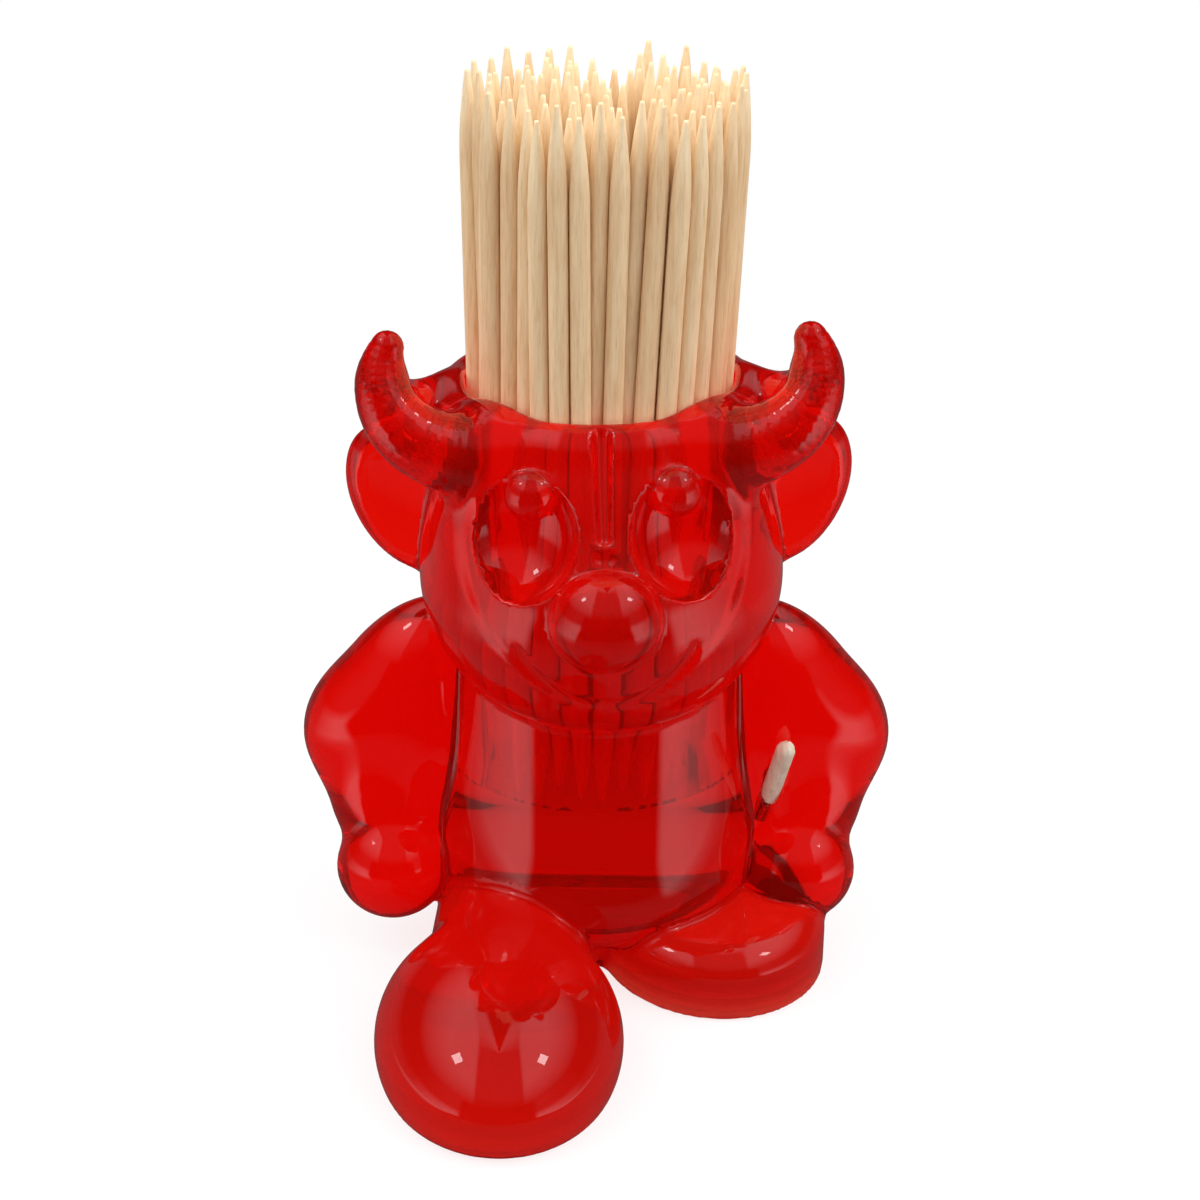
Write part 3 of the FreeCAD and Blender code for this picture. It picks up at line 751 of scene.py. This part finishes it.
# %% Wood grain group
def grain_group():
    """Streaks: noise on Object coordinates squeezed along Z and shifted by the pick's own random
    number. Pores: finer noise squeezed more. Both darken the light wood towards the dark one."""
    group = bpy.data.node_groups.new("wood_grain", "ShaderNodeTree")
    for name, kind, value in (("Light", "NodeSocketColor", (1, 1, 1, 1)),
                              ("Dark", "NodeSocketColor", (0.5, 0.4, 0.3, 1)),
                              ("Streaks", "NodeSocketFloat", 1.0),
                              ("Point", "NodeSocketFloat", 0.5)):
        group.interface.new_socket(name, in_out="INPUT", socket_type=kind).default_value = value
    for name, kind in (("Color", "NodeSocketColor"), ("Roughness", "NodeSocketFloat"),
                       ("Height", "NodeSocketFloat")):
        group.interface.new_socket(name, in_out="OUTPUT", socket_type=kind)
    given = add(group, "NodeGroupInput").outputs
    about = add(group, "ShaderNodeAttribute", attribute_name="about_pick")
    tone, rise, own = add(group, "ShaderNodeSeparateXYZ", {0: about.outputs["Vector"]}).outputs
    place = add(group, "ShaderNodeTexCoord").outputs["Object"]
    long = add(group, "ShaderNodeMapping", {"Vector": place, "Scale": (1, 1, 0.07)})
    own_place = add(group, "ShaderNodeCombineXYZ", {2: maths(group, "MULTIPLY", own, 3.0)})
    moved = add(group, "ShaderNodeVectorMath", {0: long.outputs[0], 1: own_place.outputs[0]},
                operation="ADD").outputs[0]
    streak = add(group, "ShaderNodeTexNoise", {"Vector": moved, "Scale": 1500.0, "Detail": 3.0,
                                               "Roughness": 0.6}).outputs[0]
    pores = add(group, "ShaderNodeTexNoise", {"Vector": moved, "Scale": 5200.0, "Detail": 2.0,
                                              "Roughness": 0.55}).outputs[0]
    broad = add(group, "ShaderNodeTexNoise", {"Vector": moved, "Scale": 420.0,
                                              "Detail": 2.0}).outputs[0]
    streak_mask = ramp(group, streak, ((0.36, 0.0), (0.68, 1.0)))
    pore_mask = ramp(group, pores, ((0.50, 0.0), (0.72, 1.0)))
    ends = maths(group, "ABSOLUTE", maths(group, "SUBTRACT", rise, 0.5))
    ends = ramp(group, ends, ((0.40, 0.0), (0.5, 1.0)))
    shade = maths(group, "ADD", maths(group, "MULTIPLY", streak_mask, 0.34),
                  maths(group, "MULTIPLY", pore_mask, 0.24))
    shade = maths(group, "MULTIPLY", shade, given["Streaks"])
    shade = maths(group, "ADD", shade, maths(group, "MULTIPLY", tone, 0.36))
    shade = maths(group, "ADD", shade, maths(group, "MULTIPLY", broad, 0.16))
    shade = maths(group, "ADD", shade, maths(group, "MULTIPLY", ends, given["Point"]), True)
    paint = blend_colours(group, shade, given["Light"], given["Dark"])
    rough = maths(group, "ADD", maths(group, "MULTIPLY", streak_mask, 0.14), 0.56)
    height = maths(group, "ADD", streak_mask, maths(group, "MULTIPLY", pore_mask, 0.6))
    add(group, "NodeGroupOutput", {"Color": paint, "Roughness": rough, "Height": height})
    return group


grain = grain_group()
print("wood grain group:", [s.name for s in grain.interface.items_tree])

# %% Two woods
def wood(name, light, dark, streaks, point, depth):
    """Wood with the grain group's colour, roughness and height, the height turned into a bump."""
    material = bpy.data.materials.new(name)
    tree, out = node_tree(material)
    grained = add(tree, "ShaderNodeGroup", node_tree=grain)
    for key, value in (("Light", light), ("Dark", dark), ("Streaks", streaks), ("Point", point)):
        grained.inputs[key].default_value = value
    bump = add(tree, "ShaderNodeBump", {"Height": grained.outputs["Height"], "Strength": depth,
                                        "Distance": 0.00006})
    skin = add(tree, "ShaderNodeBsdfPrincipled",
               {"Base Color": grained.outputs["Color"], "Roughness": grained.outputs["Roughness"],
                "Normal": bump.outputs[0], "Specular IOR Level": 0.28})
    tree.links.new(skin.outputs[0], out.inputs["Surface"])
    return material


pick_wood = wood("birch", colour(252, 228, 188), colour(214, 166, 114), 1.0, -0.4, 0.55)
stub_wood = wood("old_birch", colour(250, 242, 226), colour(212, 196, 166), 1.0, 0.05, 0.8)
for piece in picks:
    piece.data.materials.append(pick_wood)
stub.data.materials.append(stub_wood)
print("woods", pick_wood.name, stub_wood.name)

# %% [markdown]
# The plastic is clear red all the way through, so thin places glow and thick places are deep. The
# colour comes from the skin's tint and from what the inside absorbs on the way, and a small
# diffuse share is the haze of old plastic. Light that the skin has turned back inside again and
# again is let out, so that thick horns don't go black. A handled skin isn't perfect: it has slow
# flow ripples, hairline scratches and dust.

# %% Clear red plastic
PLASTIC_IOR = 1.5
CLEAR_SHARE = 0.87
DYE_DENSITY = 330.0


def clear_red():
    """Tinted gloss over a volume that absorbs green and blue. Ripples are slow noise in the bump;
    scratches and dust raise the roughness a little. Shadow rays, and rays that have turned more
    than four times, go straight on."""
    material = bpy.data.materials.new("clear_red")
    tree, out = node_tree(material)
    place = add(tree, "ShaderNodeTexCoord").outputs["Object"]
    flow = add(tree, "ShaderNodeTexNoise", {"Vector": place, "Scale": 110.0, "Detail": 1.5,
                                            "Roughness": 0.4}).outputs[0]
    turned_place = add(tree, "ShaderNodeMapping", {"Vector": place, "Rotation": (0.5, 0.3, 0.8),
                                                   "Scale": (1, 14, 14)}).outputs[0]
    hair = add(tree, "ShaderNodeTexNoise", {"Vector": turned_place, "Scale": 90.0, "Detail": 4.0,
                                            "Roughness": 0.7}).outputs[0]
    scratch = ramp(tree, hair, ((0.66, 0.0), (0.70, 1.0)))
    dust = add(tree, "ShaderNodeTexVoronoi", {"Vector": place, "Scale": 420.0}).outputs["Distance"]
    speck = ramp(tree, dust, ((0.05, 1.0), (0.08, 0.0)))
    rough = maths(tree, "ADD", 0.022, maths(tree, "MULTIPLY", scratch, 0.05))
    rough = maths(tree, "ADD", rough, maths(tree, "MULTIPLY", speck, 0.10))
    bump = add(tree, "ShaderNodeBump", {"Height": flow, "Strength": 0.03, "Distance": 0.0004})
    bump = add(tree, "ShaderNodeBump", {"Height": scratch, "Strength": 0.02, "Distance": 0.00003,
                                        "Normal": bump.outputs[0]}, invert=True)
    skin = add(tree, "ShaderNodeBsdfPrincipled",
               {"Base Color": (0.88, 0.014, 0.006, 1.0), "Roughness": rough, "IOR": PLASTIC_IOR,
                "Normal": bump.outputs[0], "Transmission Weight": CLEAR_SHARE})
    light = add(tree, "ShaderNodeLightPath").outputs
    through = add(tree, "ShaderNodeBsdfTransparent", {"Color": (1.0, 0.82, 0.8, 1.0)})
    trapped = trapped_rays(tree, light)
    freed = maths(tree, "MAXIMUM", light["Is Shadow Ray"], trapped)
    both = add(tree, "ShaderNodeMixShader", {0: freed, 1: skin.outputs[0],
                                             2: through.outputs[0]})
    dye = add(tree, "ShaderNodeVolumeAbsorption", {"Color": (0.95, 0.13, 0.02, 1.0),
                                                   "Density": DYE_DENSITY})
    tree.links.new(both.outputs[0], out.inputs["Surface"])
    tree.links.new(dye.outputs[0], out.inputs["Volume"])
    return material


figure.data.materials.append(clear_red())
print("plastic set")

# %% [markdown]
# The room's two lit sides show in the gloss, both in the room itself and in the floor far away, so
# the mask for them is a group: it takes a direction or a place and gives out how lit that side is.

# %% Side light group
def side_group():
    """Round is the angle from straight in front, in radians. Glow is nothing in front, full from
    50 degrees and fades from 60 to 100 degrees."""
    group = bpy.data.node_groups.new("side_light", "ShaderNodeTree")
    group.interface.new_socket("Way", in_out="INPUT", socket_type="NodeSocketVector")
    for name in ("Glow", "Round"):
        group.interface.new_socket(name, in_out="OUTPUT", socket_type="NodeSocketFloat")
    way = add(group, "NodeGroupInput").outputs["Way"]
    across, depth, _ = add(group, "ShaderNodeSeparateXYZ", {0: way}).outputs
    turn = maths(group, "ARCTAN2", across, maths(group, "MULTIPLY", depth, -1.0))
    turn = maths(group, "ABSOLUTE", maths(group, "ADD", turn, 0.03))
    edge = between(group, turn, 0.76, 0.88, kind="SMOOTHSTEP")
    fade = between(group, turn, 1.05, 1.75, 1.0, 0.08)
    out = add(group, "NodeGroupOutput")
    group.links.new(maths(group, "MULTIPLY", edge, fade), out.inputs["Glow"])
    group.links.new(turn, out.inputs["Round"])
    return group


side_light = side_group()
print("side light group:", [socket.name for socket in side_light.interface.items_tree])

# %% [markdown]
# The floor shows as white to the camera and through the plastic by its own light. Near the object
# a fifth of it is plain white that light falls on, so the object still casts a soft shadow there.
# Through the plastic its glow also carries a painted shadow: it is dimmer in an oval round the
# figure.

# %% Floor finish
PLAIN_SHARE = 0.22
# LIGHT_UNDER: the floor's glow to clear rays at the middle of the painted shadow round the figure.
LIGHT_UNDER = 0.75


def white_floor():
    """Emission for camera, clear and mirror rays, mixed with diffuse white whose share fades with
    the distance from the origin. Clear rays find it darker within an oval round the figure, a
    painted shadow of the figure; mirror rays find it lit only far to the sides."""
    material = bpy.data.materials.new("white_sheet")
    tree, out = node_tree(material)
    light = add(tree, "ShaderNodeLightPath").outputs
    place = add(tree, "ShaderNodeTexCoord").outputs["Object"]
    away = add(tree, "ShaderNodeVectorMath", {0: place}, operation="LENGTH").outputs["Value"]
    plain_share = between(tree, away, 0.05, 0.16, PLAIN_SHARE, 0.0)
    unseen = maths(tree, "SUBTRACT", 1.0, maths(tree, "MULTIPLY", light["Is Glossy Ray"], 0.6))
    plain_share = maths(tree, "MULTIPLY", plain_share, unseen)
    # Painted shadow: clear rays find the floor's glow dimmed to LIGHT_UNDER in an oval round the
    # figure.
    oval = add(tree, "ShaderNodeMapping", {"Vector": place, "Location": (0.0, 0.014 / 0.034, 0),
                                           "Scale": (1 / 0.025, 1 / 0.034, 0)}).outputs[0]
    oval = add(tree, "ShaderNodeVectorMath", {0: oval}, operation="LENGTH").outputs["Value"]
    painted_shadow = between(tree, oval, 0.6, 1.25, LIGHT_UNDER, 1.0)
    sides = add(tree, "ShaderNodeGroup", {"Way": place}, node_tree=side_light).outputs["Glow"]
    far = between(tree, away, 0.07, 0.12)
    mirrored = maths(tree, "MULTIPLY", light["Is Glossy Ray"],
                     maths(tree, "MULTIPLY", maths(tree, "MULTIPLY", sides, 1.25), far))
    trapped = trapped_rays(tree, light)
    clear = maths(tree, "MAXIMUM", maths(tree, "MULTIPLY", light["Is Transmission Ray"], painted_shadow),
                  maths(tree, "MULTIPLY", trapped, 0.8))
    seen = maths(tree, "MAXIMUM", light["Is Camera Ray"], maths(tree, "MAXIMUM", clear, mirrored))
    plain = add(tree, "ShaderNodeBsdfDiffuse", {"Color": (0.9, 0.9, 0.9, 1)})
    glow = add(tree, "ShaderNodeEmission", {"Color": (1, 1, 1, 1), "Strength": seen})
    both = add(tree, "ShaderNodeMixShader", {0: plain_share, 1: glow.outputs[0],
                                             2: plain.outputs[0]})
    tree.links.new(both.outputs[0], out.inputs["Surface"])
    return material


floor.data.materials.append(white_floor())
print("floor set")

# %% [markdown]
# The light is a small product studio: a wide softbox on each side and a small square lamp high on
# each side. The small ones make the bright sparks on the rim, the nose and the eyes. The room
# itself gives even white light, and in the gloss it is a few lit panels in a dark room.

# %% Lamps
WIDEST_MIRRORED = 0.2


def lamp(name, place, aim, width, height, power):
    """A rectangular lamp at a place, turned so that its own minus Z points at the aim. Only the
    small lamps show in mirror rays, because the room has the large ones' reflections."""
    data = bpy.data.lights.new(name, "AREA")
    data.shape = "RECTANGLE"
    data.size, data.size_y, data.energy = width, height, power
    thing = bpy.data.objects.new(name, data)
    bpy.context.scene.collection.objects.link(thing)
    back = np.array(place, float) - np.array(aim, float)
    back /= np.linalg.norm(back)
    right = np.cross([0, 0, 1], back)
    right /= max(np.linalg.norm(right), 1e-6)
    turn = np.eye(4)
    turn[:3, 0], turn[:3, 1], turn[:3, 2] = right, np.cross(back, right), back
    turn[:3, 3] = place
    thing.matrix_world = Matrix(turn.tolist())
    thing.visible_camera = False
    thing.visible_glossy = width < WIDEST_MIRRORED


MIDDLE = (0, 0, 0.045)
REACH = 0.60


def towards(azimuth, height):
    """The place at the lamps' reach from the middle: azimuth from straight in front, positive to
    the right, and height above the level, both in degrees."""
    a, h = math.radians(azimuth), math.radians(height)
    way = np.array([math.sin(a) * math.cos(h), -math.cos(a) * math.cos(h), math.sin(h)])
    return np.array(MIDDLE) + way * REACH


def panel(name, azimuth, height, width, tall, radiance):
    """A lamp whose power is its radiance times its area times pi."""
    lamp(name, towards(azimuth, height), MIDDLE, width, tall, radiance * width * tall * math.pi)


panel("softbox_right", 74, 44, 0.66, 0.60, 1.5)
panel("softbox_left", -80, 44, 0.54, 0.60, 1.5)
panel("spark_right", 84, 53, 0.08, 0.08, 9.0)
panel("spark_left", -84, 53, 0.08, 0.08, 9.0)
print("lamps", len(bpy.data.lights))

# %% Room
def room():
    """White to the camera and behind clear things, dimmer in front of them. To mirror rays it is
    a low lit panel on each side, a high one on each side of the back, and a ceiling that is lit
    on both sides of a dark gap, which widens towards the front."""
    world = bpy.data.worlds.new("room")
    bpy.context.scene.world = world
    world.use_nodes = True
    tree = world.node_tree
    tree.nodes.clear()
    light = add(tree, "ShaderNodeLightPath").outputs
    way = add(tree, "ShaderNodeTexCoord").outputs["Generated"]
    across, depth, up = add(tree, "ShaderNodeSeparateXYZ", {0: way}).outputs
    sides = add(tree, "ShaderNodeGroup", {"Way": way}, node_tree=side_light).outputs
    low = between(tree, up, 0.05, 0.19, 1.25, 0.14)
    rear = between(tree, sides["Round"], 1.8, 2.6, 0.15, 0.7)
    middle = between(tree, sides["Round"], 2.88, 2.78)
    raised = between(tree, up, 0.42, 0.75, kind="SMOOTHSTEP")
    rear = maths(tree, "MULTIPLY", maths(tree, "MULTIPLY", rear, middle), raised)
    gap = between(tree, depth, 0.25, -0.70, 0.18, 0.44)
    beyond = maths(tree, "SUBTRACT", maths(tree, "ABSOLUTE", across), gap)
    beyond = between(tree, beyond, 0.0, 0.06)
    ceiling = between(tree, up, 0.45, 0.8, 0.0, 0.95)
    ceiling = maths(tree, "MULTIPLY", ceiling, beyond)
    walls = maths(tree, "MAXIMUM", maths(tree, "MULTIPLY", sides["Glow"], low), rear)
    walls = maths(tree, "MAXIMUM", walls, ceiling)
    mirrored = maths(tree, "MULTIPLY", light["Is Glossy Ray"], walls)
    front = between(tree, depth, -0.5, 0.1, 0.95, 1.0)
    trapped = trapped_rays(tree, light)
    clear = maths(tree, "MAXIMUM", light["Is Transmission Ray"], trapped)
    clear = maths(tree, "MULTIPLY", clear, front)
    seen = maths(tree, "MAXIMUM", light["Is Camera Ray"], clear)
    plain = maths(tree, "MULTIPLY", light["Is Diffuse Ray"], 1.05)
    white = maths(tree, "MAXIMUM", maths(tree, "MAXIMUM", seen, mirrored), plain)
    backdrop = add(tree, "ShaderNodeBackground", {"Color": (1, 1, 1, 1), "Strength": white})
    tree.links.new(backdrop.outputs[0], add(tree, "ShaderNodeOutputWorld").inputs["Surface"])


room()
print("room set")

# %% Last settings
bpy.context.scene.view_settings.view_transform = "Standard"
